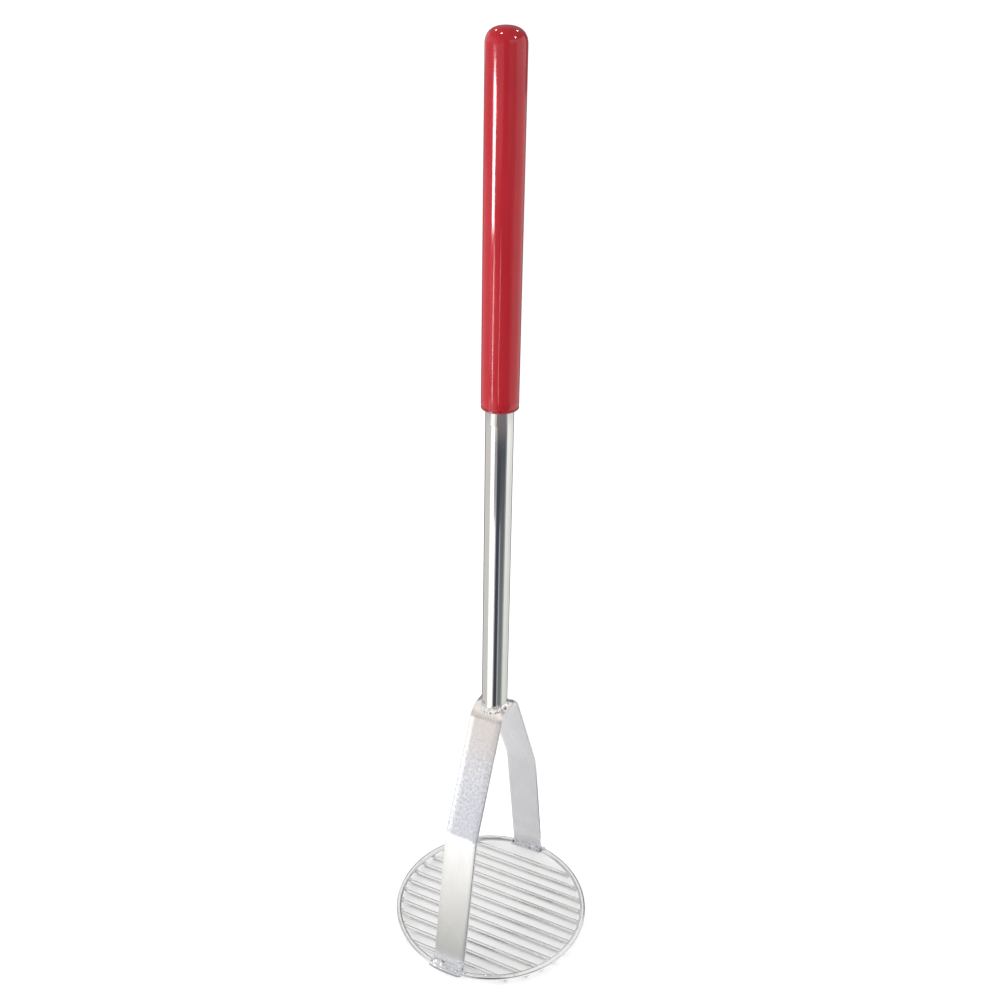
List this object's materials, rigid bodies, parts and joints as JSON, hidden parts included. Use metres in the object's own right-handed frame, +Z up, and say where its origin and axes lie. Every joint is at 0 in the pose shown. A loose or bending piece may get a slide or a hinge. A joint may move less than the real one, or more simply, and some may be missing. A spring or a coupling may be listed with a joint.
{
  "type": "potato masher",
  "caption": "Commercial masher with a round face: long straight handle, soft closed-end grip, bent strap yoke and a ring that carries a grid of parallel wires.",
  "frame": {"origin": "under the middle of the wire grid, on the plane that the grid stands on", "axes": "+Z up the handle; the grid wires run along X; the two legs of the yoke stand at -Y (front) and +Y (back)"},
  "size_m": [0.14, 0.1416, 0.61],
  "materials": {
    "wire_chrome": "bright chrome plate over drawn steel wire",
    "strap_chrome": "chrome plate over steel strap with a fine lengthwise grain",
    "weld_chrome": "chrome plate over uneven weld metal with small pits",
    "tube_chrome": "mirror-bright chrome plate over polished steel tube",
    "grip_vinyl": "glossy dipped red vinyl"
  },
  "bodies": {
    "root": {"grid_wire_01": "wire_chrome", "grid_wire_02": "wire_chrome", "grid_wire_03": "wire_chrome", "grid_wire_04": "wire_chrome", "grid_wire_05": "wire_chrome", "grid_wire_06": "wire_chrome", "grid_wire_07": "wire_chrome", "grid_wire_08": "wire_chrome", "grid_wire_09": "wire_chrome", "grid_wire_10": "wire_chrome", "grid_wire_11": "wire_chrome", "grid_wire_12": "wire_chrome", "face_ring": "wire_chrome", "yoke_strap": "strap_chrome", "leg_weld_front": "weld_chrome", "leg_weld_back": "weld_chrome", "tube_weld": "weld_chrome", "handle_tube": "tube_chrome", "handle_grip": "grip_vinyl"}
  },
  "joints": []
}
